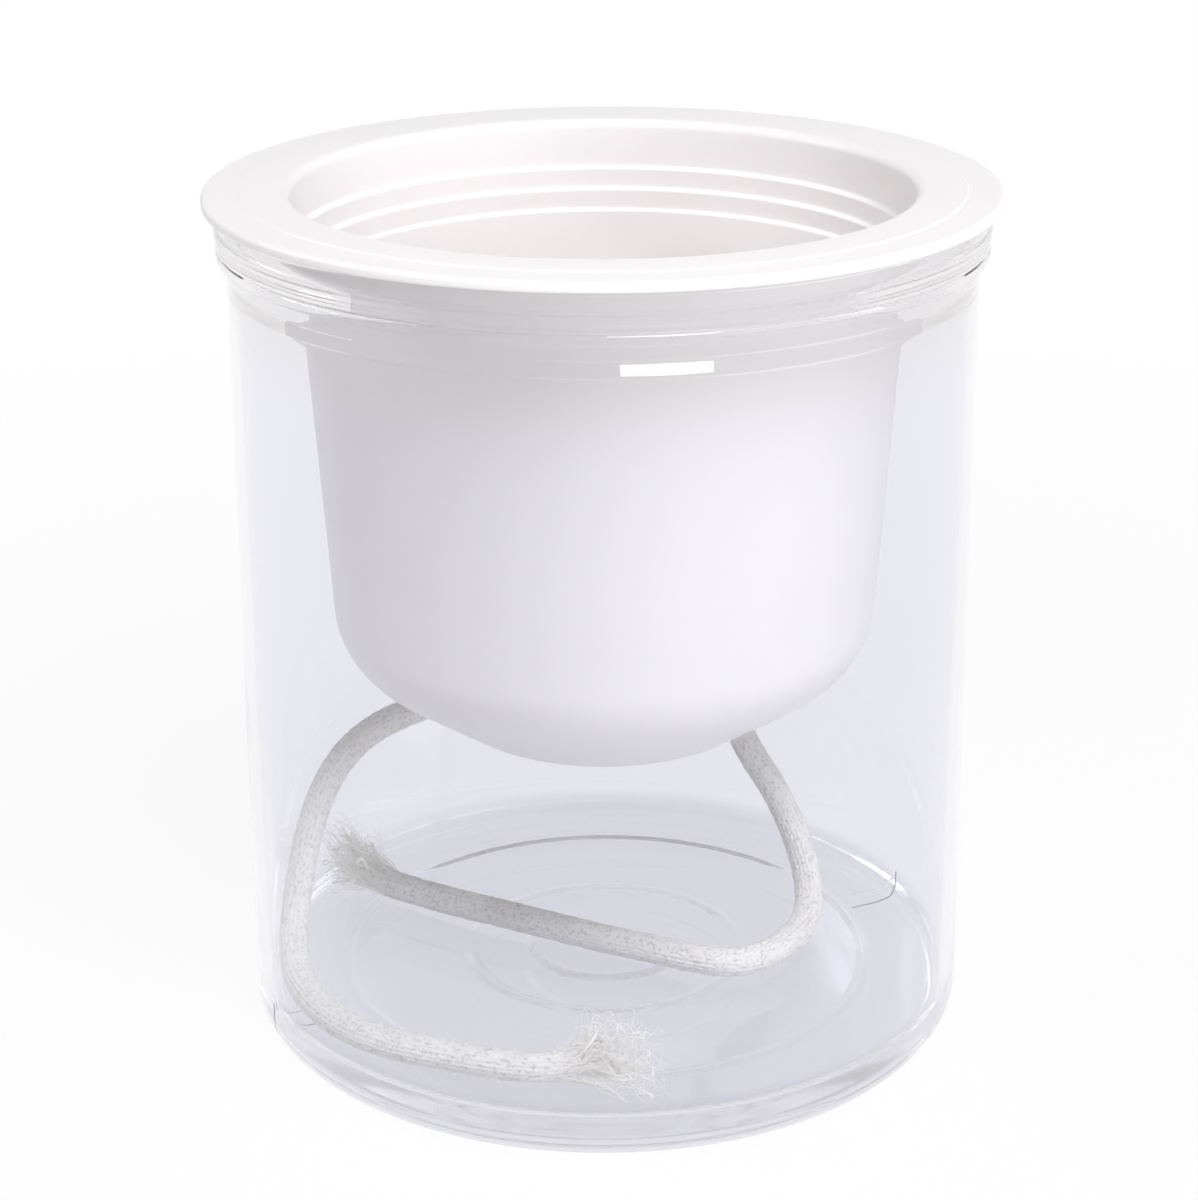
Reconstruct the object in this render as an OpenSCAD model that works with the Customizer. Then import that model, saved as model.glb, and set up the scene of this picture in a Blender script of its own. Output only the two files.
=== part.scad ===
// Self-watering pot: a clear glass vessel holds the water, a white stepped insert
// hangs in its mouth by a flange, and a cotton wick threaded through two holes in
// the insert's underside lies in the water. The origin is the centre of the foot.

/* [Vessel] */
// Loss of outer diameter from the heel up to the neck
vessel_taper = 1.4; // [0:0.1:1.8]
// Height of the rim above the surface that the vessel stands on
rim_height = 167; // [150:0.2:200]
// Wall thickness of the body above the heel
vessel_wall = 2.5; // [2:0.1:4]
// Overhang of the collar's lower edge past the neck
collar_overhang = 2; // [1.2:0.1:2.4]
// Height of the collar
collar_height = 9.7; // [7:0.1:10]
// Height of the rounded bead along the collar's lower edge
collar_bead = 1.6; // [1.2:0.1:2]
// Loss of diameter from the top of the collar to its lower edge
collar_taper = 1; // [0:0.1:1.2]
// Width of the rim between the collar and the mouth
rim_width = 2.7; // [2.4:0.1:3]
// Depth of the mouth's straight part below the rim
mouth_depth = 3.4; // [3:0.1:5]
// Height over which the mouth draws in to the neck's bore
mouth_draw = 6.2; // [5:0.1:8]
// Height of the neck's straight bore
neck_height = 3.7; // [3:0.1:6]
// Amount that the neck's bore is narrower all round than the body's
neck_draw = 1.2; // [0.8:0.1:1.4]
// Outer radius of the heel
heel_radius = 8; // [5:0.5:10]
// Height of the inner floor where it meets the wall
floor_height = 9; // [7:0.1:10]
// Rise of the inner floor from the wall to the middle
floor_rise = 1.8; // [1:0.1:1.8]
// Rounding where the inner floor meets the wall
floor_radius = 3; // [2:0.1:4]
// Height of the hollow pressed up under the foot
push_up = 3.5; // [1:0.1:5]
// Width of the foot, from the body's outside in to the hollow under it
foot_width = 13; // [11.5:0.5:20]

/* [Insert] */
// Diameter of the flange
flange_d = 150; // [125:0.5:175]
// Thickness of the flange's plate at its outer rim
flange_thickness = 1.6; // [1.6:0.1:3]
// Length of the lip that turns down outside the collar
lip_drop = 0.4; // [0.4:0.1:2]
// Thickness of that lip
lip_thickness = 1.3; // [1:0.1:3]
// Rounding of the flange's upper outer edge
flange_rounding = 1; // [0.4:0.1:1.2]
// Distance from the flange's edge in to the soft riser on top of it
riser_inset = 7; // [4:0.5:11]
// Height of the soft riser
riser_height = 0.3; // [0.2:0.1:1]
// Width of the flange from its edge in to the opening
flange_width = 16.4; // [15:0.1:17]
// Rounding of the opening's upper edge
opening_rounding = 2; // [1:0.1:2.4]
// Overall depth of the insert from the top of its flange
insert_depth = 107.8; // [95:0.2:110]
// Wall thickness of the insert
insert_wall = 2; // [1.5:0.1:2.4]
// Depth of the first inner step below the top of the flange
first_step_depth = 9.8; // [6:0.1:10]
// Distance from one step to the next
step_pitch = 4.2; // [3:0.1:6]
// Amount that each step draws the wall in
step_inset = 1.15; // [0.8:0.05:1.5]
// Number of inner steps
step_count = 3; // [2:1:4]
// Amount that the side draws in from the last step to where it turns under
side_draw = 4.75; // [3:0.05:6]
// Width of the slanted underside round the flat bottom
underside_width = 24.9; // [22:0.1:27]
// Slope of the slanted underside, in degrees from level
underside_slope = 34; // [28:0.5:38]
// Rounding where the side turns under
turn_radius = 17; // [10:0.5:18]
// Rounding where the underside meets the flat bottom
bottom_rounding = 12; // [5:0.5:13]

/* [Wick] */
// Thickness of the wick
wick_d = 6; // [5:0.1:6]
// Distance from the flat bottom's edge out to the wick's holes
hole_inset = 5.5; // [4.5:0.1:6.5]
// Azimuth of the hole for the left leg, in degrees
left_hole_azimuth = 140; // [138:0.5:142]
// Azimuth of the hole for the right leg, in degrees
right_hole_azimuth = 50; // [48:0.5:52]
// Length of the frayed end at the front
front_fray_length = 15; // [12:0.5:16]
// Length of the frayed end at the back
back_fray_length = 12; // [8:0.5:12.5]
// Width of the frayed ends at their open side
fray_d = 9; // [7:0.1:9.4]

/* [Fits] */
// Gap between the rim and the flange that rests on it
seat_gap = 0.3; // [0.1:0.05:0.5]
// Gap between the collar and the lip round it
lip_gap = 0.4; // [0.3:0.05:0.6]
// Gap all round the wick in its holes
hole_gap = 0.15; // [0.05:0.01:0.3]

/* [Hidden] */
$fn = 160;

// Largest turn of an arc between two of its points, in degrees
arc_step = 10;
// Straight overrun of a cut past the solid that it cuts
overrun = 4;
// Sides of the wick's tube
wick_sides = 10;

flange_r = flange_d / 2;
collar_r = flange_r - lip_thickness - lip_gap;
mouth_r = collar_r - rim_width;
collar_edge_r = collar_r - collar_taper / 2;
neck_r = collar_edge_r - collar_overhang;
vessel_r = neck_r + vessel_taper / 2;
bore_r = vessel_r - vessel_wall;
push_up_r = vessel_r - foot_width;
collar_foot = rim_height - collar_height;
// The neck is drawn in under the collar by this share of the collar's overhang
neck_relief_share = 0.08;
relief_height = collar_overhang;
// Depth of the groove above the collar's bead, as a share of the bead's height
groove_share = 0.25;
groove_depth = collar_bead * groove_share;
bead_top = collar_foot + collar_bead;
// Roundings of the rim and of the collar's bead, as shares of what they round
rim_rounding_share = 0.45;
bead_rounding_share = 0.45;
rim_rounding = rim_width * rim_rounding_share;
bead_rounding = collar_bead * bead_rounding_share;
draw_top = rim_height - mouth_depth;
draw_foot = draw_top - mouth_draw;
draw_rounding = mouth_draw;
neck_bore_r = bore_r - neck_draw;
neck_foot = draw_foot - neck_height;
// Lean of the inner shoulder under the neck, in degrees from upright
shoulder_lean = 22.5;
shoulder_height = neck_draw / tan(shoulder_lean);
// Rounding of the shoulder's two bends, as a share of the amount that it draws in
shoulder_rounding_share = 2.5;
shoulder_rounding = neck_draw * shoulder_rounding_share;

// Two low beads and a boss on the inner floor, as shares of the bore's radius
outer_bead_share = 0.77;
inner_bead_share = 0.4;
boss_share = 0.24;
bead_width_share = 0.022;
// Share of the floor's whole rise by which each bead stands up
bead_rise_share = 0.2;
bead_width = bore_r * bead_width_share;
bead_rise = floor_rise * bead_rise_share;
boss_rise = floor_rise / 2;
slope_rise = (floor_rise - boss_rise) / 3;
outer_bead_r = bore_r * outer_bead_share;
inner_bead_r = bore_r * inner_bead_share;
outer_bead_z = floor_height + slope_rise;
inner_bead_z = floor_height + 2 * slope_rise;
boss_r = bore_r * boss_share;
boss_z = floor_height + 3 * slope_rise;

plate_z = rim_height + seat_gap;
rim_top = plate_z + flange_thickness;
total_height = rim_top + riser_height;
lip_foot = plate_z - lip_drop;
lip_inner_r = collar_r + lip_gap;
riser_r = flange_r - riser_inset;
opening_r = flange_r - flange_width;
side_r = opening_r + insert_wall;
insert_foot = total_height - insert_depth;
bowl_r = side_r - step_count * step_inset - side_draw;
bottom_r = bowl_r - underside_width;
bowl_z = insert_foot + (bowl_r - bottom_r) * tan(underside_slope);
// Roundings of the steps and of the lip's lower edge, as shares of what they round
step_rounding_share = 0.45;
lip_rounding_share = 0.35;
step_rounding = step_inset * step_rounding_share;
lip_rounding = lip_thickness * lip_rounding_share;
riser_rounding = riser_height;
// Level at which the insert's side ends and its bottom begins, above the turn's rounding
side_foot = bowl_z + turn_radius;

wick_r = wick_d / 2;
hole_d = wick_d + 2 * hole_gap;
// Distance outside the insert's wall at which the legs begin
leg_start = wick_r;
// Distance along a hole's axis that a leg keeps to from its start
leg_lead = wick_r / 3;

// The wick's route, set out for this flange, insert and floor, and moved with them
route_flange_d = 150;
route_foot_z = 61.4;
route_floor_z = 9;
// Level above the floor up to which the wick lies and past which it hangs
route_lying_z = 6;
run_route = [
    [-17.4, 16.4, 15.5], [-9.9, 15, 19.7], [-1.3, 15, 21.3], [7.1, 16.5, 19.7],
    [14.2, 19.1, 15.5]
];
left_route = [
    [-29.2, 23.9, 58.3], [-33.7, 24.3, 54.9], [-39.3, 22.4, 53.2], [-45.3, 18.6, 52],
    [-51.2, 13, 49.8], [-55.8, 7.6, 45.6], [-58.9, 3.2, 40], [-61, -1, 33.5],
    [-62.2, -5, 27], [-62.8, -9, 21.5], [-62.6, -13.8, 17.2], [-60.8, -20.5, 14.4],
    [-57.4, -28, 13.3], [-52.5, -36, 13], [-46, -42.7, 13], [-38.5, -47.6, 13],
    [-30, -50.9, 13], [-22, -53.8, 13], [-15.5, -55.5, 13], [-9.5, -55.8, 13.2],
    [-5, -54.7, 13.7]
];
right_route = [
    [24.3, 28, 57.5], [26.1, 27.2, 52], [28.2, 24, 47.6], [31.2, 19.8, 43],
    [35, 16.4, 38], [38, 14.1, 32.5], [40.3, 12.5, 27], [42, 10.5, 21],
    [42.4, 6, 16.8], [41, 0, 14.8], [37.5, -7, 14.4], [32.3, -13.5, 14.4],
    [25, -17, 14.4], [16.3, -14.5, 14.4], [8.2, -10.3, 14.4], [0, -6.6, 14.4],
    [-10, -1.2, 14.4], [-20.5, 4.6, 14.4], [-31, 10.8, 14], [-38.8, 16, 13.7],
    [-46, 21, 13.5], [-49, 23, 14.2]
];

function unit(v) = v / norm(v);
function turned(a) = a > 180 ? a - 360 : a < -180 ? a + 360 : a;

// A route's point at its radius for this flange and at a level of its own
function spread(p, z) = [p.x * flange_d / route_flange_d, p.y * flange_d / route_flange_d, z];

// Level of a leg's point: as it is above the floor while lying, stretched while hanging
function leg_level(z) =
    let (
        lift = z - route_floor_z,
        hang = (insert_foot - floor_height - route_lying_z) / (route_foot_z - route_floor_z - route_lying_z)
    )
    floor_height + min(lift, route_lying_z) + max(0, lift - route_lying_z) * hang;

function over_foot(route) = [for (p = route) spread(p, insert_foot + p.z)];
function over_floor(route) = [for (p = route) spread(p, leg_level(p.z))];

// Points of a path's corner b, rounded to radius r between its neighbours a and c
function corner(a, b, c, r) =
    let (
        u = unit(a - b),
        w = unit(c - b),
        half = acos(u * w) / 2
    )
    r <= 0 || half > 89.9 ? [b] :
    let (
        middle = b + unit(u + w) * r / sin(half),
        from = b + u * r / tan(half) - middle,
        to = b + w * r / tan(half) - middle,
        start = atan2(from.y, from.x),
        sweep = turned(atan2(to.y, to.x) - start),
        steps = max(1, ceil(abs(sweep) / arc_step))
    )
    [for (i = [0:steps]) middle + r * [cos(start + sweep * i / steps), sin(start + sweep * i / steps)]];

function flat(p) = [p.x, p.y];

// Closed outline through corners given as [radius from the axis, height, rounding]
function rounded(c) = [
    for (i = [0:len(c) - 1])
        each corner(
            flat(c[(i + len(c) - 1) % len(c)]), flat(c[i]), flat(c[(i + 1) % len(c)]), c[i].z
        )
];

// Left-hand normal of a stretch from a to b, which points into the bowl
function inward(a, b) = let (d = unit(b - a)) [-d.y, d.x];

// Corner b of an open path, moved in by a wall's thickness, with its rounding kept parallel
function moved(a, b, c, wall) =
    let (
        n = inward(flat(a), flat(b)),
        m = inward(flat(b), flat(c)),
        p = flat(b) + (n + m) * wall / (1 + n * m),
        sense = cross(flat(b) - flat(a), flat(c) - flat(b)) > 0 ? -1 : 1
    )
    [p.x, p.y, max(0, b.z > wall ? b.z + sense * wall : b.z)];

vessel_outline = rounded([
    [0, push_up, 0],
    [push_up_r, 0, 0],
    [vessel_r, 0, heel_radius],
    [neck_r, collar_foot - relief_height, relief_height],
    [neck_r - collar_overhang * neck_relief_share, collar_foot, 0],
    [collar_edge_r, collar_foot, bead_rounding],
    [collar_edge_r, bead_top, bead_rounding],
    [collar_edge_r - groove_depth, bead_top + groove_depth, 0],
    [collar_edge_r, bead_top + 2 * groove_depth, groove_depth],
    [collar_r, rim_height, rim_rounding],
    [mouth_r, rim_height, rim_rounding],
    [mouth_r, draw_top, draw_rounding],
    [neck_bore_r, draw_foot, draw_rounding],
    [neck_bore_r, neck_foot, shoulder_rounding],
    [bore_r, neck_foot - shoulder_height, shoulder_rounding],
    [bore_r, floor_height, floor_radius],
    [outer_bead_r + bead_width, outer_bead_z, bead_width],
    [outer_bead_r, outer_bead_z + bead_rise, bead_width],
    [outer_bead_r - bead_width, outer_bead_z, bead_width],
    [inner_bead_r + bead_width, inner_bead_z, bead_width],
    [inner_bead_r, inner_bead_z + bead_rise, bead_width],
    [inner_bead_r - bead_width, inner_bead_z, bead_width],
    [boss_r, boss_z, boss_rise],
    [boss_r - 2 * boss_rise, boss_z + boss_rise, boss_rise],
    [0, boss_z + boss_rise, 0]
]);

// Outer surface of the bowl from the middle of its bottom up to the flange
bowl_path = concat(
    [
        [0, insert_foot, 0],
        [bottom_r, insert_foot, bottom_rounding],
        [bowl_r, bowl_z, turn_radius]
    ],
    [
        for (i = [step_count:-1:1])
            let (z = total_height - first_step_depth - (i - 1) * step_pitch - insert_wall)
            each [
                [side_r - i * step_inset, z, step_rounding],
                [side_r - (i - 1) * step_inset, z, step_rounding]
            ]
    ],
    [[side_r, plate_z, 0]]
);

bowl_inside = [
    for (i = [len(bowl_path) - 2:-1:1])
        moved(bowl_path[i - 1], bowl_path[i], bowl_path[i + 1], insert_wall)
];

insert_outline = rounded(concat(
    bowl_path,
    [
        [lip_inner_r, plate_z, 0],
        [lip_inner_r, lip_foot, 0],
        [flange_r, lip_foot, lip_rounding],
        [flange_r, rim_top, flange_rounding],
        [riser_r + riser_height, rim_top, riser_rounding],
        [riser_r, total_height, riser_rounding],
        [opening_r, total_height, opening_rounding]
    ],
    bowl_inside,
    [[0, insert_foot + insert_wall, 0]]
));

// Point on the axis of a wick hole, a distance outside the slanted underside
function on_hole(azimuth, distance) =
    let (
        r = bottom_r + hole_inset,
        z = insert_foot + (r - bottom_r) * tan(underside_slope),
        out = r + distance * sin(underside_slope)
    )
    [out * cos(azimuth), out * sin(azimuth), z - distance * cos(underside_slope)];

// Direction of a route at its point i
function heading(route, i) =
    let (
        before = i > 0 ? unit(route[i] - route[i - 1]) : [0, 0, 0],
        after = i < len(route) - 1 ? unit(route[i + 1] - route[i]) : [0, 0, 0]
    )
    unit(before + after);

function square_to(side, way) = unit(side - (side * way) * way);

// Sides carried along a route without twist, one for each of its points
function sides(route) = [
    for (
        i = 0, s = square_to([0, 0.2, 1], heading(route, 0));
        i < len(route);
        i = i + 1, s = i < len(route) ? square_to(s, heading(route, i)) : s
    )
        s
];

module tube(route, r) {
    n = wick_sides;
    last = len(route) - 1;
    carried = sides(route);
    points = [
        for (i = [0:last])
            let (way = heading(route, i), across = cross(way, carried[i]))
            for (k = [0:n - 1])
                route[i] + r * (cos(360 * k / n) * carried[i] + sin(360 * k / n) * across)
    ];
    faces = concat(
        [[for (k = [0:n - 1]) k]],
        [[for (k = [n - 1:-1:0]) last * n + k]],
        [
            for (i = [0:last - 1])
                for (k = [0:n - 1])
                    let (a = i * n + k, b = i * n + (k + 1) % n)
                    each [[a, a + n, b + n], [a, b + n, b]]
        ]
    );
    polyhedron(points, faces);
}

// A cone of loose yarn that opens out from the end of a leg, straight on along its route
module frayed_end(route, length) {
    last = len(route) - 1;
    way = unit(route[last] - route[last - 1]);
    translate(route[last])
        rotate([0, acos(way.z), atan2(way.y, way.x)])
            cylinder(h = length, r1 = wick_r, r2 = fray_d / 2);
}

// A leg's route from its start outside a wick hole
function from_hole(azimuth, route) = concat(
    [on_hole(azimuth, leg_start), on_hole(azimuth, leg_start + leg_lead)],
    over_floor(route)
);

module wick_hole(azimuth) {
    translate(on_hole(azimuth, overrun))
        rotate([0, -underside_slope, azimuth])
            cylinder(h = 2 * overrun, d = hole_d);
}

module reservoir_vessel() {
    color([0.86, 0.87, 0.93, 0.4])
        rotate_extrude()
            polygon(vessel_outline);
}

module insert_flange() {
    color([0.95, 0.95, 0.95])
        rotate_extrude()
            difference() {
                polygon(insert_outline);
                square([side_r, plate_z]);
            }
}

module insert_side() {
    color([0.95, 0.95, 0.95])
        rotate_extrude()
            intersection() {
                polygon(insert_outline);
                translate([0, side_foot])
                    square([side_r, plate_z - side_foot]);
            }
}

module insert_bottom() {
    color([0.95, 0.95, 0.95])
        difference() {
            rotate_extrude()
                intersection() {
                    polygon(insert_outline);
                    square([side_r, side_foot]);
                }
            wick_hole(left_hole_azimuth);
            wick_hole(right_hole_azimuth);
        }
}

module wick_run() {
    color([0.85, 0.84, 0.8])
        tube(
            concat(
                [
                    on_hole(left_hole_azimuth, leg_start),
                    on_hole(left_hole_azimuth, -leg_start),
                    on_hole(left_hole_azimuth, -wick_d)
                ],
                over_foot(run_route),
                [
                    on_hole(right_hole_azimuth, -wick_d),
                    on_hole(right_hole_azimuth, -leg_start),
                    on_hole(right_hole_azimuth, leg_start)
                ]
            ),
            wick_r
        );
}

module wick_left_leg() {
    color([0.85, 0.84, 0.8])
        tube(from_hole(left_hole_azimuth, left_route), wick_r);
}

module wick_right_leg() {
    color([0.85, 0.84, 0.8])
        tube(from_hole(right_hole_azimuth, right_route), wick_r);
}

module frayed_end_front() {
    color([0.88, 0.87, 0.83])
        frayed_end(over_floor(left_route), front_fray_length);
}

module frayed_end_back() {
    color([0.88, 0.87, 0.83])
        frayed_end(over_floor(right_route), back_fray_length);
}

reservoir_vessel();
insert_flange();
insert_side();
insert_bottom();
wick_run();
wick_left_leg();
wick_right_leg();
frayed_end_front();
frayed_end_back();
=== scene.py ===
"""Dresses the self-watering pot: a clear glass vessel, a white insert pot and a cotton wick.

Every length is in metres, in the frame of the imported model. The vessel and the insert are
turned from the same outlines as the solids that they stand for, and the wick follows the
same route. The insert and the wick ride together, so that they lift out of the vessel.
"""
import logging
import math
from dataclasses import dataclass, fields
from enum import Enum

import bpy
import numpy as np
from mathutils import Euler, Matrix, Vector


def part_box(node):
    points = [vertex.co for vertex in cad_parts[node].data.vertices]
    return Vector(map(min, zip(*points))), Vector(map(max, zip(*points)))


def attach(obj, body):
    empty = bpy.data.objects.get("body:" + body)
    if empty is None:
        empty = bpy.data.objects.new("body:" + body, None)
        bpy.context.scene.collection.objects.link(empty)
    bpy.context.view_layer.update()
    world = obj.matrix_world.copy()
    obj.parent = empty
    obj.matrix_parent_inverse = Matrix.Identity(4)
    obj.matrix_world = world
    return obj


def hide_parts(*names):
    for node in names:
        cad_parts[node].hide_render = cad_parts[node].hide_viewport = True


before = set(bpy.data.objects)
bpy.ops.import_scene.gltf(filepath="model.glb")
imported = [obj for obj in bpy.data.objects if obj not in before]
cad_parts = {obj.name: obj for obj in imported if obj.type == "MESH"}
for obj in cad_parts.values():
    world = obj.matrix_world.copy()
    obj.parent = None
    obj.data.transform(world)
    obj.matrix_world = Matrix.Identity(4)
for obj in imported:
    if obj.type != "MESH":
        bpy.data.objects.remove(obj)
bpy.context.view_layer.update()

log = logging.getLogger("self_watering_pot")

MM = 0.001


class Body(Enum):
    """The two bodies that the pieces ride on."""

    VESSEL = "vessel"
    INSERT = "insert"


class Slot(Enum):
    """The record's material slots."""

    GLASS = "clear_glass"
    PLASTIC = "white_plastic"
    COTTON = "cotton"


class Value:
    """A node's output, with arithmetic that adds Math nodes behind it."""

    def __init__(self, nodes: "NodeSet", socket: bpy.types.NodeSocket) -> None:
        """Wraps a socket.

        Args:
            nodes: The tree that the socket is in.
            socket: An output socket.
        """
        self.nodes = nodes
        self.socket = socket

    def maths(self, operation: str, *others: "float | Value") -> "Value":
        """Feeds this value and others to a Math node.

        Args:
            operation: The Math node's operation.
            others: What goes into its further sockets.

        Returns:
            The node's result.
        """
        values = dict(enumerate((self, *others)))
        return self.nodes.add("ShaderNodeMath", {"operation": operation}, values)

    def __add__(self, other: "float | Value") -> "Value":
        """Sum."""
        return self.maths("ADD", other)

    def __mul__(self, other: "float | Value") -> "Value":
        """Product."""
        return self.maths("MULTIPLY", other)

    def __sub__(self, other: "float | Value") -> "Value":
        """Difference."""
        return self.maths("SUBTRACT", other)

    def __rsub__(self, other: float) -> "Value":
        """Difference from a number."""
        return self.maths("MULTIPLY", -1.0) + other

    def __truediv__(self, other: "float | Value") -> "Value":
        """Quotient."""
        return self.maths("DIVIDE", other)

    def __pow__(self, other: float) -> "Value":
        """Power."""
        return self.maths("POWER", other)

    def larger(self, other: "float | Value") -> "Value":
        """The larger of two values."""
        return self.maths("MAXIMUM", other)


class NodeSet:
    """A node tree that is filled by one method."""

    def __init__(self, tree: bpy.types.NodeTree) -> None:
        """Takes a tree to fill.

        Args:
            tree: A shader or geometry node tree.
        """
        self.tree = tree

    def add(
        self,
        kind: str,
        settings: dict | None = None,
        sockets: dict | None = None,
        out: int | str = 0,
    ) -> Value:
        """Adds a node.

        Args:
            kind: The node's type.
            settings: Its settings, set first.
            sockets: The values or links of its sockets, by name or number.
            out: The output that is wanted.

        Returns:
            That output, or the first input of a node without outputs.
        """
        node = self.tree.nodes.new(kind)
        for name, setting in (settings or {}).items():
            setattr(node, name, setting)
        for name, value in (sockets or {}).items():
            socket = node.inputs[name]
            if isinstance(value, Value):
                self.tree.links.new(value.socket, socket)
            else:
                socket.default_value = value
        return Value(self, node.outputs[out] if node.outputs else node.inputs[0])

    def other(self, value: Value, out: int | str) -> Value:
        """Another output of the node that a value comes from.

        Args:
            value: An output of the node.
            out: The name or number of the wanted output.

        Returns:
            The other output.
        """
        return Value(self, value.socket.node.outputs[out])

    def split(self, vector: Value) -> list[Value]:
        """Takes a vector apart.

        Args:
            vector: The vector.

        Returns:
            Its x, y and z.
        """
        x = self.add("ShaderNodeSeparateXYZ", sockets={0: vector})
        return [x, self.other(x, 1), self.other(x, 2)]

    def vector(self, *parts: float | Value) -> Value:
        """Puts a vector together.

        Args:
            parts: Its x, y and z, or the first of them.

        Returns:
            The vector.
        """
        return self.add("ShaderNodeCombineXYZ", sockets=dict(enumerate(parts)))

    def noise(self, place: Value, scale: float, detail: float, out: int | str = 0) -> Value:
        """Adds a noise texture.

        Args:
            place: Where it is read.
            scale: Its scale.
            detail: Its detail.
            out: The output that is wanted.

        Returns:
            That output.
        """
        sockets = {"Vector": place, "Scale": scale, "Detail": detail}
        return self.add("ShaderNodeTexNoise", sockets=sockets, out=out)

    def rise(self, value: Value, start: float, width: float, low: float = 0.0) -> Value:
        """Adds a smooth step up to 1.

        Args:
            value: What it follows.
            start: The value at which it starts.
            width: How much further it ends.
            low: Its result below the start.

        Returns:
            The step.
        """
        sockets = {"Value": value, "From Min": start, "From Max": start + width, "To Min": low}
        return self.add("ShaderNodeMapRange", {"interpolation_type": "SMOOTHSTEP"}, sockets)

    def mix(self, share: Value, one: tuple | Value, two: tuple | Value) -> Value:
        """Mixes two colours.

        Args:
            share: The second colour's share.
            one: The first colour.
            two: The second colour.

        Returns:
            The mixed colour.
        """
        sockets = {"Factor": share, 6: one, 7: two}
        return self.add("ShaderNodeMix", {"data_type": "RGBA"}, sockets, out=2)

    def mix_shaders(self, share: float | Value, one: Value, two: Value) -> Value:
        """Mixes two shaders.

        Args:
            share: The second shader's share.
            one: The first shader.
            two: The second shader.

        Returns:
            The mixed shader.
        """
        return self.add("ShaderNodeMixShader", sockets={0: share, 1: one, 2: two})

    def bump(self, height: Value) -> Value:
        """Turns a height in metres into a normal.

        Args:
            height: The height.

        Returns:
            The normal.
        """
        sockets = {"Height": height, "Distance": 1.0, "Strength": 1.0}
        return self.add("ShaderNodeBump", sockets=sockets)


def new_material(name: str) -> tuple[bpy.types.Material, NodeSet]:
    """Makes a material with an empty tree.

    Args:
        name: Its name.

    Returns:
        The material and its tree.
    """
    material = bpy.data.materials.new(name)
    material.use_nodes = True
    material.node_tree.nodes.clear()
    return material, NodeSet(material.node_tree)


@dataclass(frozen=True)
class ClearGlass:
    """Pressed clear glass, faintly lavender, with two mould seams at its heel. Its tint darkens in
    the thick base, part glass absorption and part painted shadow under the pot, and turns warmer
    and darker towards the top, where that is painted shade under the flange.
    """

    tint: tuple = (0.905, 0.905, 0.942, 1.0)
    # Darker base tint: part absorption in the thick glass, part painted shadow under the pot.
    base_tint: tuple = (0.745, 0.745, 0.795, 1.0)
    base_level: float = 0.010
    base_blend: float = 0.004
    # Warmer, darker tint towards the top: painted shade under the flange.
    collar_tint: tuple = (0.87, 0.855, 0.855, 1.0)
    collar_level: float = 0.134
    collar_blend: float = 0.024
    shade: tuple = (0.95, 0.95, 0.965, 1.0)
    ior: float = 1.5
    base_roughness: float = 0.05
    seam_azimuth: float = math.radians(24)
    seam_half_width: float = math.radians(0.3)
    seam_radius: float = 0.0585
    seam_top: float = 0.012
    seam_height: float = 0.00014
    wave_scale: float = 22.0
    wave_height: float = 0.00012

    def make(self) -> bpy.types.Material:
        """Builds the material.

        Returns:
            The glass.
        """
        material, nodes = new_material("pressed_clear_glass")
        place = nodes.add("ShaderNodeTexCoord", out="Object")
        x, y, z = nodes.split(place)
        azimuth = y.maths("ARCTAN2", x) - self.seam_azimuth
        off_seam = azimuth.maths("SINE").maths("ABSOLUTE") / self.seam_half_width
        reach = (x * x + y * y).maths("SQRT")
        near_foot = z.maths("LESS_THAN", self.seam_top)
        near_heel = near_foot * reach.maths("GREATER_THAN", self.seam_radius)
        ridge = (1.0 - off_seam).larger(0.0) * near_heel
        wave = nodes.noise(place, self.wave_scale, detail=1.0)
        # Below the base level the tint darkens: part absorption in the thick glass, part painted
        # shadow under the pot.
        thin = nodes.rise(z, self.base_level, self.base_blend)
        # The tint turns warmer and darker towards the top: painted shade under the flange.
        high = nodes.rise(z, self.collar_level, self.collar_blend)
        low_colour = nodes.mix(thin, self.base_tint, self.tint)
        glass = nodes.add(
            "ShaderNodeBsdfPrincipled",
            sockets={
                "Base Color": nodes.mix(high, low_colour, self.collar_tint),
                "Transmission Weight": 1.0,
                "IOR": self.ior,
                "Roughness": (1.0 - thin) * self.base_roughness,
                "Normal": nodes.bump(ridge * self.seam_height + wave * self.wave_height),
            },
        )
        through = nodes.add("ShaderNodeBsdfTransparent", sockets={"Color": self.shade})
        shadow = nodes.add("ShaderNodeLightPath", out="Is Shadow Ray")
        soft = nodes.other(shadow, "Is Diffuse Ray")
        mixed = nodes.mix_shaders(shadow.larger(soft), glass, through)
        nodes.add("ShaderNodeOutputMaterial", sockets={"Surface": mixed})
        return material


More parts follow.
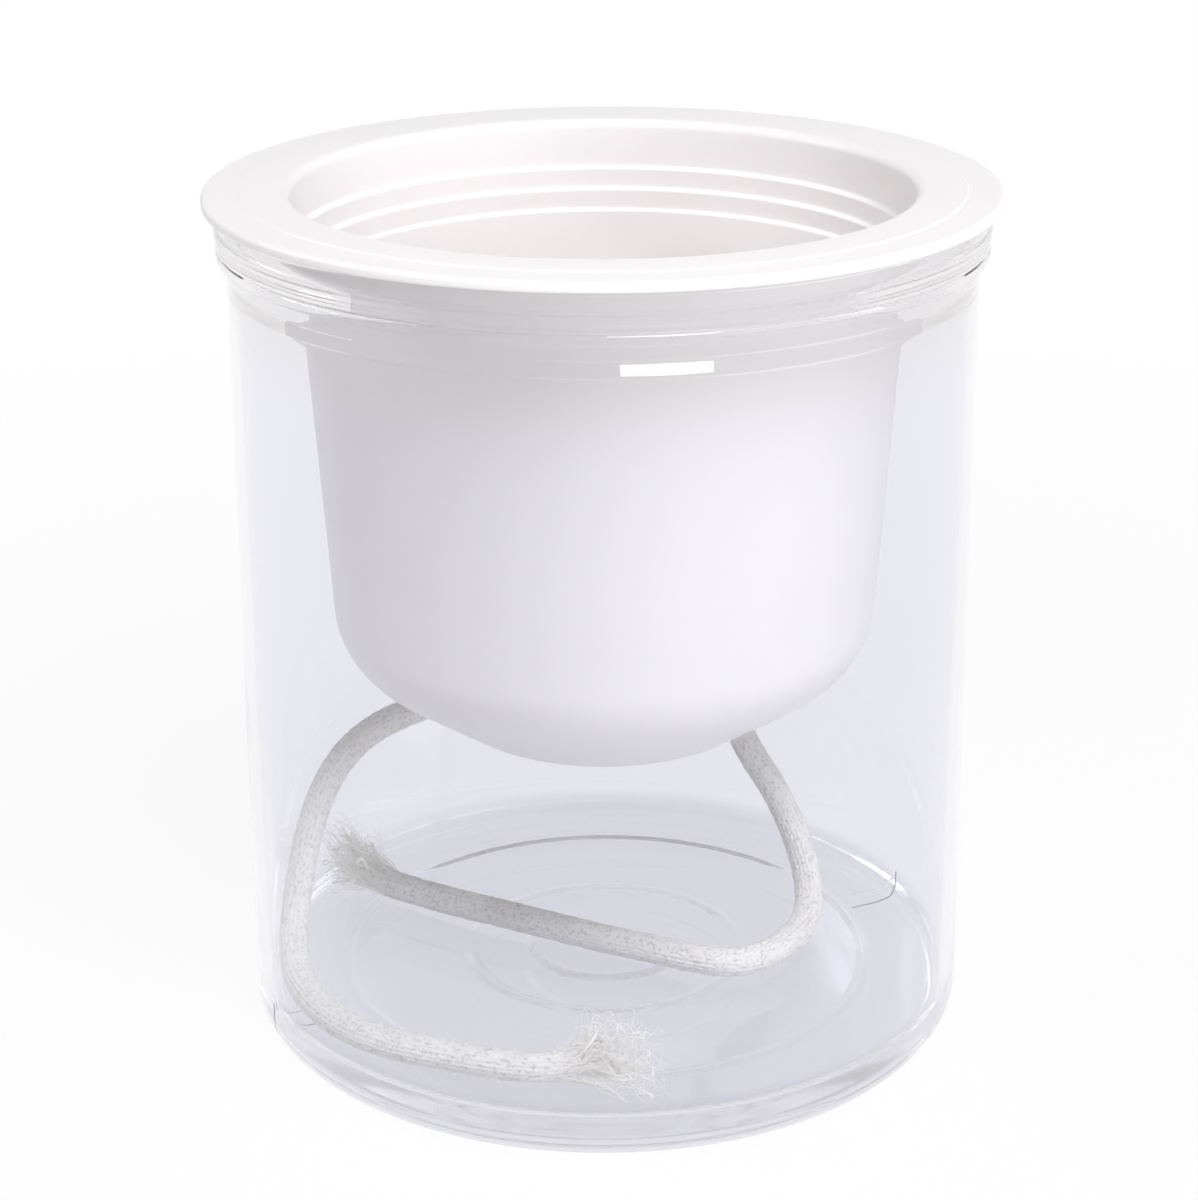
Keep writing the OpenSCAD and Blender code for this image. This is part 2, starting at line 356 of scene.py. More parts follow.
@dataclass(frozen=True)
class SatinPlastic:
    """White moulded plastic with a satin skin."""

    colour: tuple = (0.90, 0.875, 0.88, 1.0)
    shade_colour: tuple = (0.88, 0.855, 0.86, 1.0)
    roughness: float = 0.36
    roughness_spread: float = 0.1
    ior: float = 1.46
    specular: float = 0.3
    scatter: float = 0.08
    scatter_radius: tuple = (0.004, 0.004, 0.004)
    mottle_scale: float = 40.0
    grain_scale: float = 1800.0
    grain_height: float = 0.000012

    def make(self) -> bpy.types.Material:
        """Builds the material.

        Returns:
            The plastic.
        """
        material, nodes = new_material("satin_white_plastic")
        place = nodes.add("ShaderNodeTexCoord", out="Object")
        mottle = nodes.noise(place, self.mottle_scale, detail=3.0)
        grain = nodes.noise(place, self.grain_scale, detail=2.0)
        smoothest = self.roughness - self.roughness_spread / 2
        skin = nodes.add(
            "ShaderNodeBsdfPrincipled",
            sockets={
                "Base Color": nodes.mix(mottle, self.shade_colour, self.colour),
                "Roughness": mottle * self.roughness_spread + smoothest,
                "IOR": self.ior,
                "Specular IOR Level": self.specular,
                "Subsurface Weight": self.scatter,
                "Subsurface Radius": self.scatter_radius,
                "Normal": nodes.bump(grain * self.grain_height),
            },
        )
        nodes.add("ShaderNodeOutputMaterial", sockets={"Surface": skin})
        return material


@dataclass(frozen=True)
class Cotton:
    """Undyed cotton. A braid has its relief and lean in attributes and its place in a UV map, and
    its low places are darkened with painted shade and random dark specks.
    """

    colour: tuple = (0.98, 0.975, 0.955, 1.0)
    warm_colour: tuple = (0.93, 0.91, 0.875, 1.0)
    # Dark colour of the braid's low places: painted shade in the hollows between yarns, with random
    # dark specks.
    hollow_colour: tuple = (0.66, 0.645, 0.615, 1.0)
    tuft_colour: tuple = (0.99, 0.985, 0.97, 1.0)
    shine_through: float = 0.5
    roughness: float = 0.92
    sheen: float = 0.25
    sheen_roughness: float = 0.5
    specular: float = 0.15
    yarn_scale: float = 26.0
    yarn_stretch: float = 5.0
    yarn_height: float = 0.00022
    loose_height: float = 0.0001
    speck_scale: float = 1300.0
    mottle_scale: float = 130.0
    grain_low: float = 0.36
    grain_high: float = 0.56
    relief_share: float = 0.6
    yarn_share: float = 0.3
    grain_share: float = 0.5
    hollow_depth: float = 0.25
    hollow_blend: float = 0.65

    def _skin(self, nodes: NodeSet, colour: Value, normal: Value) -> Value:
        """Adds the cotton's shader to a tree.

        Args:
            nodes: The tree.
            colour: The base colour.
            normal: The normal.

        Returns:
            The shader.
        """
        return nodes.add(
            "ShaderNodeBsdfPrincipled",
            sockets={
                "Base Color": colour,
                "Roughness": self.roughness,
                "Sheen Weight": self.sheen,
                "Sheen Roughness": self.sheen_roughness,
                "Specular IOR Level": self.specular,
                "Normal": normal,
            },
        )

    def make_braid(self) -> bpy.types.Material:
        """Builds the braided rope's material.

        Returns:
            The material, which reads the attributes relief and lean and the rope's UV map.
        """
        material, nodes = new_material("braided_cotton")
        relief = nodes.add("ShaderNodeAttribute", {"attribute_name": "relief"}, out="Fac")
        lean = nodes.add("ShaderNodeAttribute", {"attribute_name": "lean"}, out="Fac")
        u, v, _ = nodes.split(nodes.add("ShaderNodeTexCoord", out="UV"))
        yarns = []
        for way in (1.0, -1.0):
            place = nodes.vector(u + v * way, (u - v * way) * self.yarn_stretch)
            yarns.append(nodes.noise(place, self.yarn_scale, detail=2.0))
        yarn = yarns[0] * lean + yarns[1] * (1.0 - lean)
        spot = nodes.add("ShaderNodeTexCoord", out="Object")
        speck = nodes.noise(spot, self.speck_scale, detail=2.0)
        mottle = nodes.noise(spot, self.mottle_scale, detail=1.0)
        limits = {"Value": speck, "From Min": self.grain_low, "From Max": self.grain_high}
        grain = nodes.add("ShaderNodeMapRange", sockets=limits)
        height = relief * self.relief_share + yarn * self.yarn_share + grain * self.grain_share
        # Low relief darkens towards the hollow colour: painted shade between the yarns, plus random
        # dark specks from the grain noise.
        depth = nodes.rise(height, self.hollow_depth, self.hollow_blend)
        warm = nodes.mix(mottle, self.warm_colour, self.colour)
        colour = nodes.mix(depth, self.hollow_colour, warm)
        skin = self._skin(nodes, colour, nodes.bump(yarn * self.yarn_height))
        nodes.add("ShaderNodeOutputMaterial", sockets={"Surface": skin})
        return material

    def make_yarn(self) -> bpy.types.Material:
        """Builds the loose fibres' material.

        Returns:
            The material.
        """
        material, nodes = new_material("loose_cotton_yarn")
        place = nodes.add("ShaderNodeTexCoord", out="Object")
        speck = nodes.noise(place, self.speck_scale, detail=1.0)
        colour = nodes.mix(speck, self.colour, self.tuft_colour)
        normal = nodes.bump(speck * self.loose_height)
        look = {"Color": colour, "Normal": normal}
        through = nodes.add("ShaderNodeBsdfTranslucent", sockets=look)
        skin = self._skin(nodes, colour, normal)
        mixed = nodes.mix_shaders(self.shine_through, skin, through)
        nodes.add("ShaderNodeOutputMaterial", sockets={"Surface": mixed})
        return material


@dataclass(frozen=True)
class Corner:
    """A corner of a turned outline."""

    radius: float
    height: float
    rounding: float = 0.0

    @property
    def point(self) -> np.ndarray:
        """The corner's place in the outline's plane."""
        return np.array([self.radius, self.height])


ARC_STEP = math.radians(5.5)
STRAIGHT = math.radians(89.9)


def unit(vector: np.ndarray) -> np.ndarray:
    """The vector at length 1."""
    return vector / np.linalg.norm(vector)


def round_corner(before: np.ndarray, corner: Corner, after: np.ndarray) -> list[np.ndarray]:
    """Rounds one corner of an outline.

    Args:
        before: The corner before it.
        corner: The corner.
        after: The corner after it.

    Returns:
        The arc's points, or the corner alone where it is sharp.
    """
    here = corner.point
    back = unit(before - here)
    on = unit(after - here)
    half = math.acos(float(np.clip(back @ on, -1, 1))) / 2
    if corner.rounding <= 0 or half > STRAIGHT:
        return [here]
    middle = here + unit(back + on) * corner.rounding / math.sin(half)
    start = here + back * corner.rounding / math.tan(half) - middle
    end = here + on * corner.rounding / math.tan(half) - middle
    first = math.atan2(start[1], start[0])
    sweep = (math.atan2(end[1], end[0]) - first + math.pi) % math.tau - math.pi
    steps = max(2, math.ceil(abs(sweep) / ARC_STEP))
    turns = (first + sweep * i / steps for i in range(steps + 1))
    return [middle + corner.rounding * np.array([math.cos(a), math.sin(a)]) for a in turns]


def rounded_outline(corners: list[Corner]) -> np.ndarray:
    """Rounds the corners of a closed outline.

    Args:
        corners: Its corners, in order round it.

    Returns:
        Its points as an array of radius and height.
    """
    count = len(corners)
    points: list[np.ndarray] = []
    for i, corner in enumerate(corners):
        points += round_corner(corners[i - 1].point, corner, corners[(i + 1) % count].point)
    return np.array(points)


def new_object(name: str, mesh: bpy.types.Mesh) -> bpy.types.Object:
    """Links a new object at the origin.

    Args:
        name: Its name.
        mesh: Its mesh.

    Returns:
        The object.
    """
    piece = bpy.data.objects.new(name, mesh)
    bpy.context.scene.collection.objects.link(piece)
    return piece


def turned_mesh(name: str, outline: np.ndarray, segments: int, crease: float) -> bpy.types.Mesh:
    """Turns an outline about the Z axis into a closed mesh with poles on the axis.

    Args:
        name: The mesh's name.
        outline: Points from the axis, round the section and back to the axis.
        segments: Faces round the axis.
        crease: The angle past which an edge stays sharp.

    Returns:
        The mesh, with its faces outwards.
    """
    inner = outline[1:-1]
    angles = np.arange(segments) * (math.tau / segments)
    rings = np.stack(
        [
            np.outer(inner[:, 0], np.cos(angles)),
            np.outer(inner[:, 0], np.sin(angles)),
            np.repeat(inner[:, 1:], segments, axis=1),
        ],
        axis=-1,
    ).reshape(-1, 3)
    first_pole = len(rings)
    last_pole = first_pole + 1
    poles = [[0.0, 0.0, outline[0, 1]], [0.0, 0.0, outline[-1, 1]]]
    last_ring = (len(inner) - 1) * segments
    faces = []
    for k in range(segments):
        after = (k + 1) % segments
        faces.append((first_pole, after, k))
        faces.append((last_pole, last_ring + k, last_ring + after))
        for i in range(len(inner) - 1):
            low = i * segments
            high = low + segments
            faces.append((low + k, low + after, high + after, high + k))
    mesh = bpy.data.meshes.new(name)
    mesh.from_pydata(np.vstack([rings, poles]).tolist(), [], faces)
    mesh.shade_smooth()
    mesh.set_sharp_from_angle(angle=crease)
    mesh.validate()
    return mesh


@dataclass
class ReservoirVessel:
    """The clear glass vessel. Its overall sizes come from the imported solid."""

    body_radius: float = 0.0715
    neck_radius: float = 0.0708
    bore_radius: float = 0.069
    mouth_radius: float = 0.0706
    collar_height: float = 0.0097
    collar_taper: float = 0.0005
    collar_bead: float = 0.0016
    groove_depth: float = 0.0004
    mouth_depth: float = 0.0034
    mouth_draw: float = 0.0062
    neck_height: float = 0.0037
    neck_draw: float = 0.0012
    shoulder_lean: float = math.radians(22.5)
    heel_rounding: float = 0.008
    floor_height: float = 0.009
    floor_rise: float = 0.0018
    floor_rounding: float = 0.003
    push_up: float = 0.0035
    push_up_radius: float = 0.0585
    outer_bead_radius: float = 0.05313
    inner_bead_radius: float = 0.0276
    boss_radius: float = 0.01656
    bead_width: float = 0.001518
    bead_rise: float = 0.00036
    softness: float = 0.45
    bend_ratio: float = 2.5
    undercut: float = 0.08
    segments: int = 480
    crease: float = math.radians(50)

    def _bead(self, radius: float, level: float) -> list[Corner]:
        """The corners of a low bead on the inner floor, inwards.

        Args:
            radius: The radius of its crest.
            level: The floor's level beside it.

        Returns:
            Its three corners.
        """
        return [
            Corner(radius + self.bead_width, level, self.bead_width),
            Corner(radius, level + self.bead_rise, self.bead_width),
            Corner(radius - self.bead_width, level, self.bead_width),
        ]

    def corners(self) -> list[Corner]:
        """The section's corners, from the middle of the foot round to the middle of the floor."""
        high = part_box("reservoir_vessel")[1]
        rim = high[2]
        collar = high[0]
        edge = collar - self.collar_taper
        collar_foot = rim - self.collar_height
        overhang = edge - self.neck_radius
        rim_rounding = (collar - self.mouth_radius) * self.softness
        bead_rounding = self.collar_bead * self.softness
        bead_top = collar_foot + self.collar_bead
        groove = self.groove_depth
        draw_top = rim - self.mouth_depth
        neck_top = draw_top - self.mouth_draw
        neck_foot = neck_top - self.neck_height
        neck_bore = self.bore_radius - self.neck_draw
        shoulder = self.neck_draw / math.tan(self.shoulder_lean)
        bend = self.neck_draw * self.bend_ratio
        floor = self.floor_height
        boss_rise = self.floor_rise / 2
        slope = (self.floor_rise - boss_rise) / 3
        middle = floor + self.floor_rise
        return [
            Corner(0, self.push_up),
            Corner(self.push_up_radius, 0),
            Corner(self.body_radius, 0, self.heel_rounding),
            Corner(self.neck_radius, collar_foot - overhang, overhang),
            Corner(self.neck_radius - overhang * self.undercut, collar_foot),
            Corner(edge, collar_foot, bead_rounding),
            Corner(edge, bead_top, bead_rounding),
            Corner(edge - groove, bead_top + groove),
            Corner(edge, bead_top + 2 * groove, groove),
            Corner(collar, rim, rim_rounding),
            Corner(self.mouth_radius, rim, rim_rounding),
            Corner(self.mouth_radius, draw_top, self.mouth_draw),
            Corner(neck_bore, neck_top, self.mouth_draw),
            Corner(neck_bore, neck_foot, bend),
            Corner(self.bore_radius, neck_foot - shoulder, bend),
            Corner(self.bore_radius, floor, self.floor_rounding),
            *self._bead(self.outer_bead_radius, floor + slope),
            *self._bead(self.inner_bead_radius, floor + 2 * slope),
            Corner(self.boss_radius, middle - boss_rise, boss_rise),
            Corner(self.boss_radius - 2 * boss_rise, middle, boss_rise),
            Corner(0, middle),
        ]

    def build(self, glass: bpy.types.Material) -> bpy.types.Object:
        """Builds the vessel.

        Args:
            glass: Its material.

        Returns:
            The piece.
        """
        outline = rounded_outline(self.corners())
        mesh = turned_mesh("reservoir_vessel_glass", outline, self.segments, self.crease)
        mesh.materials.append(glass)
        piece = new_object("reservoir_vessel_glass", mesh)
        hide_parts("reservoir_vessel")
        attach(piece, Body.VESSEL.value)
        return piece


@dataclass
class InsertPot:
    """The white insert, hung by its flange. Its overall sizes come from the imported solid."""

    flange_thickness: float = 0.0016
    lip_drop: float = 0.0004
    lip_gap: float = 0.0004
    flange_rounding: float = 0.001
    riser_radius: float = 0.068
    riser_height: float = 0.0003
    opening_radius: float = 0.0586
    opening_rounding: float = 0.002
    wall: float = 0.002
    first_step_depth: float = 0.0098
    step_pitch: float = 0.0042
    step_inset: float = 0.00115
    step_count: int = 3
    bowl_radius: float = 0.0524
    bottom_radius: float = 0.0275
    underside_slope: float = math.radians(34)
    turn_rounding: float = 0.017
    bottom_rounding: float = 0.012
    hole_radius: float = 0.00315
    hole_circle_radius: float = 0.033
    hole_azimuths: tuple = (math.radians(140), math.radians(50))
    softness: float = 0.45
    lip_softness: float = 0.35
    drill_sides: int = 48
    drill_outside: float = 2.0
    drill_inside: float = 3.0
    segments: int = 256
    crease: float = math.radians(40)

    def __post_init__(self) -> None:
        """Takes the levels and the flange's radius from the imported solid."""
        self.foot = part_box("insert_bottom")[0][2]
        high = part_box("insert_flange")[1]
        self.top = high[2]
        self.flange_radius = high[0]

    def bowl(self) -> list[Corner]:
        """The bowl's outer corners, from the middle of its bottom up to the flange."""
        turn = self.foot + (self.bowl_radius - self.bottom_radius) * math.tan(self.underside_slope)
        side = self.opening_radius + self.wall
        soft = self.step_inset * self.softness
        corners = [
            Corner(0, self.foot),
            Corner(self.bottom_radius, self.foot, self.bottom_rounding),
            Corner(self.bowl_radius, turn, self.turn_rounding),
        ]
        for i in range(self.step_count, 0, -1):
            level = self.top - self.first_step_depth - (i - 1) * self.step_pitch - self.wall
            corners.append(Corner(side - i * self.step_inset, level, soft))
            corners.append(Corner(side - (i - 1) * self.step_inset, level, soft))
        corners.append(Corner(side, self.plate_level))
        return corners

    @property
    def plate_level(self) -> float:
        """The level of the flange's underside."""
        return self.top - self.riser_height - self.flange_thickness

    def inside(self, bowl: list[Corner]) -> list[Corner]:
        """Moves the bowl's corners in by the wall's thickness.

        Args:
            bowl: The outer corners, upwards.

        Returns:
            The inner corners, downwards.
        """
        inner = []
        for before, here, after in zip(bowl, bowl[1:], bowl[2:]):
            d = unit(here.point - before.point)
            e = unit(after.point - here.point)
            n = np.array([-d[1], d[0]])
            m = np.array([-e[1], e[0]])
            place = here.point + (n + m) * self.wall / (1 + float(n @ m))
            sense = -1 if d[0] * e[1] - d[1] * e[0] > 0 else 1
            rounding = here.rounding
            if rounding > self.wall:
                rounding += sense * self.wall
            inner.append(Corner(place[0], place[1], max(0.0, rounding)))
        return inner[::-1]

    def corners(self) -> list[Corner]:
        """The whole section's corners."""
        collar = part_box("reservoir_vessel")[1][0]
        lip = collar + self.lip_gap
        lip_foot = self.plate_level - self.lip_drop
        rim = self.top - self.riser_height
        bowl = self.bowl()
        return [
            *bowl,
            Corner(lip, self.plate_level),
            Corner(lip, lip_foot),
            Corner(self.flange_radius, lip_foot, (self.flange_radius - lip) * self.lip_softness),
            Corner(self.flange_radius, rim, self.flange_rounding),
            Corner(self.riser_radius + self.riser_height, rim, self.riser_height),
            Corner(self.riser_radius, self.top, self.riser_height),
            Corner(self.opening_radius, self.top, self.opening_rounding),
            *self.inside(bowl),
            Corner(0, self.foot + self.wall),
        ]

    def on_hole(self, azimuth: float, distance: float) -> np.ndarray:
        """A point on a wick hole's axis.

        Args:
            azimuth: The hole's azimuth.
            distance: How far outside the underside the point lies.

        Returns:
            The point.
        """
        out = self.hole_circle_radius + distance * math.sin(self.underside_slope)
        rise = (self.hole_circle_radius - self.bottom_radius) * math.tan(self.underside_slope)
        height = self.foot + rise - distance * math.cos(self.underside_slope)
        return np.array([out * math.cos(azimuth), out * math.sin(azimuth), height])

    def _drill(self, azimuth: float) -> bpy.types.Object:
        """Makes the cutter of one wick hole.

        Args:
            azimuth: The hole's azimuth.

        Returns:
            The cutter.
        """
        start = self.on_hole(azimuth, self.wall * self.drill_outside)
        axis = unit(self.on_hole(azimuth, -self.wall * self.drill_inside) - start)
        side = unit(np.cross(axis, [0.0, 0.0, 1.0]))
        up = np.cross(axis, side)
        sides = self.drill_sides
        turns = np.arange(sides) * (math.tau / sides)
        ring = self.hole_radius * (np.outer(np.cos(turns), side) + np.outer(np.sin(turns), up))
        depth = self.wall * (self.drill_outside + self.drill_inside)
        points = np.vstack([start + ring, start + ring + axis * depth])
        faces = [tuple(range(sides))[::-1], tuple(range(sides, 2 * sides))]
        faces += [(k, (k + 1) % sides, sides + (k + 1) % sides, sides + k) for k in range(sides)]
        mesh = bpy.data.meshes.new("wick_hole_cutter")
        mesh.from_pydata(points.tolist(), [], faces)
        return new_object("wick_hole_cutter", mesh)

    def build(self, plastic: bpy.types.Material) -> bpy.types.Object:
        """Builds the insert with its two wick holes.

        Args:
            plastic: Its material.

        Returns:
            The piece.
        """
        outline = rounded_outline(self.corners())
        mesh = turned_mesh("insert_pot_blank", outline, self.segments, self.crease)
        mesh.materials.append(plastic)
        piece = new_object("insert_pot_shell", mesh)
        cutters = [self._drill(azimuth) for azimuth in self.hole_azimuths]
        for cutter in cutters:
            cut = piece.modifiers.new(cutter.name, "BOOLEAN")
            cut.operation = "DIFFERENCE"
            cut.solver = "EXACT"
            cut.object = cutter
        bake_modifiers(piece)
        for cutter in cutters:
            bpy.data.objects.remove(cutter)
        piece.data.set_sharp_from_angle(angle=self.crease)
        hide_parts("insert_flange", "insert_side", "insert_bottom")
        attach(piece, Body.INSERT.value)
        return piece


def bake_modifiers(piece: bpy.types.Object) -> None:
    """Turns a piece's modifiers into its own mesh.

    Args:
        piece: The piece, left with a plain mesh and no modifier.
    """
    graph = bpy.context.evaluated_depsgraph_get()
    mesh = bpy.data.meshes.new_from_object(piece.evaluated_get(graph), depsgraph=graph)
    piece.modifiers.clear()
    mesh.name = piece.name
    piece.data = mesh


SOCKET_KINDS = {int: "NodeSocketInt", float: "NodeSocketFloat"}


def title(name: str) -> str:
    """The label of the input that a field's name stands for."""
    return name.replace("_", " ").title()


class GeometryTree:
    """A geometry node tree whose named inputs are a dataclass's fields, run once on a piece."""

    def __init__(self, name: str, sizes: type) -> None:
        """Starts a tree.

        Args:
            name: Its name.
            sizes: The dataclass. The piece's geometry and a material are inputs too.
        """
        kinds = {field.name: SOCKET_KINDS[field.type] for field in fields(sizes)}
        kinds = {"geometry": "NodeSocketGeometry", **kinds, "material": "NodeSocketMaterial"}
        self.group = bpy.data.node_groups.new(name, "GeometryNodeTree")
        self.identifiers = {}
        face = self.group.interface
        for field, kind in kinds.items():
            item = face.new_socket(title(field), in_out="INPUT", socket_type=kind)
            self.identifiers[field] = item.identifier
        face.new_socket("Geometry", in_out="OUTPUT", socket_type="NodeSocketGeometry")
        self.nodes = NodeSet(self.group)
        self.source = self.nodes.add("NodeGroupInput")

    def input(self, field: str) -> Value:
        """One of the tree's inputs.

        Args:
            field: The name of its field.

        Returns:
            Its value.
        """
        return self.nodes.other(self.source, title(field))

    def chance(self, low: float, high: float, seed: int | Value) -> Value:
        """A random number for each element.

        Args:
            low: The least value.
            high: The greatest value.
            seed: A fixed seed.

        Returns:
            The number.
        """
        sockets = {2: low, 3: high, 8: seed}
        return self.nodes.add("FunctionNodeRandomValue", {"data_type": "FLOAT"}, sockets, out=1)

    def line(self, points: int) -> Value:
        """A line up the Z axis, one unit long.

        Args:
            points: How many points it has.

        Returns:
            The line.
        """
        ends = {"End": (0.0, 0.0, 1.0)}
        line = self.nodes.add("GeometryNodeCurvePrimitiveLine", {"mode": "POINTS"}, ends)
        sockets = {"Curve": line, "Count": points}
        return self.nodes.add("GeometryNodeResampleCurve", {"mode": "COUNT"}, sockets)

    def tube(self, curve: Value, radius: Value, sides: int, capped: bool) -> Value:
        """Gives a curve a thickness.

        Args:
            curve: The curve.
            radius: The tube's radius.
            sides: How many sides it has.
            capped: Whether its ends are closed.

        Returns:
            The tube.
        """
        sockets = {"Resolution": sides, "Radius": radius}
        circle = self.nodes.add("GeometryNodeCurvePrimitiveCircle", {"mode": "RADIUS"}, sockets)
        sockets = {"Curve": curve, "Profile Curve": circle, "Fill Caps": capped}
        return self.nodes.add("GeometryNodeCurveToMesh", sockets=sockets)

    def finish(self, geometry: Value) -> None:
        """Ends the tree in Realize Instances and Set Material.

        Args:
            geometry: What the tree has made.
        """
        real = self.nodes.add("GeometryNodeRealizeInstances", sockets={0: geometry})
        sockets = {"Geometry": real, "Material": self.input("material")}
        dressed = self.nodes.add("GeometryNodeSetMaterial", sockets=sockets)
        self.nodes.add("NodeGroupOutput", sockets={0: dressed})

    def run(self, piece: bpy.types.Object, sizes: object, material: bpy.types.Material) -> None:
        """Runs the tree on a piece and keeps its result as a plain mesh.

        Args:
            piece: The piece.
            sizes: An instance of the tree's dataclass.
            material: The result's material.
        """
        modifier = piece.modifiers.new(self.group.name, "NODES")
        modifier.node_group = self.group
        for field, value in {**vars(sizes), "material": material}.items():
            modifier[self.identifiers[field]] = value
        bake_modifiers(piece)


@dataclass(frozen=True)
class Fuzz:
    """Sizes of the stray fibres on the rope."""

    density: float = 600_000.0
    fibre_length: float = 0.0011
    fibre_radius: float = 0.00002
    seed: int = 5


FIBRE_POINTS = 4
FIBRE_BOW = 0.55
FIBRE_HOOK = 0.3
FIBRE_TILT = (0.5, 1.4)
FIBRE_SIZE = (0.3, 1.0)


def fuzz_tree() -> GeometryTree:
    """Builds the tree that grows short stray fibres on a rope's surface.

    Returns:
        The tree. Its result holds the fibres alone.
    """
    tree = GeometryTree("stray_fibres", Fuzz)
    nodes = tree.nodes
    points = nodes.add(
        "GeometryNodeDistributePointsOnFaces",
        {"distribute_method": "RANDOM"},
        {"Mesh": tree.source, "Density": tree.input("density"), "Seed": tree.input("seed")},
    )
    along = nodes.add("GeometryNodeSplineParameter", out="Factor")
    bend = nodes.vector(along**2.0 * FIBRE_BOW, along**3.0 * FIBRE_HOOK)
    sockets = {"Geometry": tree.line(FIBRE_POINTS), "Offset": bend}
    bent = nodes.add("GeometryNodeSetPosition", sockets=sockets)
    ratio = tree.input("fibre_radius") / tree.input("fibre_length")
    hair = tree.tube(bent, ratio, sides=3, capped=False)
    sockets = {"Vector": nodes.other(points, "Normal")}
    upright = nodes.add("FunctionNodeAlignRotationToVector", {"axis": "Z"}, sockets)
    spin = nodes.vector(tree.chance(*FIBRE_TILT, 11), 0.0, tree.chance(0.0, math.tau, 12))
    turn = nodes.add("FunctionNodeEulerToRotation", sockets={0: spin})
    sockets = {"Rotation": upright, "Rotate By": turn}
    tilt = nodes.add("FunctionNodeRotateRotation", {"rotation_space": "LOCAL"}, sockets)
    size = tree.input("fibre_length") * tree.chance(*FIBRE_SIZE, 13)
    scale = nodes.vector(size, size, size)
    sockets = {"Points": points, "Instance": hair, "Rotation": tilt, "Scale": scale}
    tree.finish(nodes.add("GeometryNodeInstanceOnPoints", sockets=sockets))
    return tree


@dataclass(frozen=True)
class Tuft:
    """Sizes of one layer of a frayed end's yarns."""

    yarns: int
    length: float
    flare: float
    curl: float
    yarn_radius: float
    seed: int
    root_radius: float = 0.0028


FRONT_TUFT = (
    Tuft(yarns=14, length=0.0175, flare=1.2, curl=0.030, yarn_radius=0.00036, seed=3),
    Tuft(yarns=70, length=0.0185, flare=1.3, curl=0.032, yarn_radius=0.00009, seed=4),
    Tuft(yarns=210, length=0.0200, flare=1.6, curl=0.036, yarn_radius=0.00003, seed=6),
)
BACK_TUFT = (
    Tuft(yarns=11, length=0.0175, flare=0.8, curl=0.022, yarn_radius=0.00034, seed=8),
    Tuft(yarns=60, length=0.0195, flare=0.9, curl=0.024, yarn_radius=0.00009, seed=9),
    Tuft(yarns=190, length=0.0215, flare=1.1, curl=0.028, yarn_radius=0.00003, seed=12),
)
FRONT_LEAN = (0.001, -0.0065, -0.003)
BACK_LEAN = (-0.001, 0.003, 0.001)
YARN_POINTS = 18
YARN_CURLS = 2.6
DRIFT_SKEW = 0.37
ROOT_SEED_STEP = 20.0
YARN_TRAITS = (("reach", 0.45, 1.0, 40.0), ("drift", 0.0, 90.0, 60.0))


def tuft_tree() -> GeometryTree:
    """Builds the tree that spreads a rope's end into loose, curling yarns.

    Returns:
        The tree. The yarns start at the origin and run up the Z axis.
    """
    tree = GeometryTree("loose_yarns", Tuft)
    nodes = tree.nodes
    seed = tree.input("seed")
    turn = tree.chance(0.0, math.tau, seed)
    out = tree.chance(0.0, 1.0, seed + ROOT_SEED_STEP) ** 0.5 * tree.input("root_radius")
    root = nodes.vector(turn.maths("COSINE") * out, turn.maths("SINE") * out, 0.0)
    sockets = {"Count": tree.input("yarns"), "Position": root}
    points = nodes.add("GeometryNodePoints", sockets=sockets)
    traits = []
    for name, low, high, seed_step in YARN_TRAITS:
        points = nodes.add(
            "GeometryNodeStoreNamedAttribute",
            {"data_type": "FLOAT", "domain": "POINT"},
            {"Geometry": points, "Name": name, "Value": tree.chance(low, high, seed + seed_step)},
        )
        kind = "GeometryNodeInputNamedAttribute"
        traits.append(nodes.add(kind, {"data_type": "FLOAT"}, {"Name": name}))
    share, drift = traits
    sockets = {"Points": points, "Instance": tree.line(YARN_POINTS)}
    placed = nodes.add("GeometryNodeInstanceOnPoints", sockets=sockets)
    real = nodes.add("GeometryNodeRealizeInstances", sockets={0: placed})
    x, y, t = nodes.split(nodes.add("GeometryNodeInputPosition"))
    spot = nodes.vector(drift, drift * DRIFT_SKEW, t * share * YARN_CURLS)
    sway_x, sway_y, sway_z = nodes.split(nodes.noise(spot, scale=1.0, detail=1.0, out="Color"))
    open_out = t * share * tree.input("flare") + 1.0
    curl = tree.input("curl") * t
    spread = nodes.vector(
        x * open_out + (sway_x - 0.5) * curl,
        y * open_out + (sway_y - 0.5) * curl,
        t * share * tree.input("length") + (sway_z - 0.5) * curl * 0.5,
    )
    bent = nodes.add("GeometryNodeSetPosition", sockets={"Geometry": real, "Position": spread})
    yarns = tree.tube(bent, tree.input("yarn_radius"), sides=4, capped=True)
    tree.finish(nodes.add("GeometryNodeSetShadeSmooth", sockets={"Geometry": yarns}))
    return tree


@dataclass
class Strand:
    """A stretch of the rope's centreline, with its sides and its distance along the rope."""

    points: np.ndarray
    headings: np.ndarray
    sides: np.ndarray
    distances: np.ndarray

    @property
    def length(self) -> float:
        """The stretch's length."""
        return float(self.distances[-1] - self.distances[0])

    def cut(self, first: int, last: int) -> "Strand":
        """A part of the stretch.

        Args:
            first: The first point's number.
            last: The last point's number.

        Returns:
            The part, with both points.
        """
        part = slice(first, last + 1)
        return Strand(*(field[part] for field in vars(self).values()))


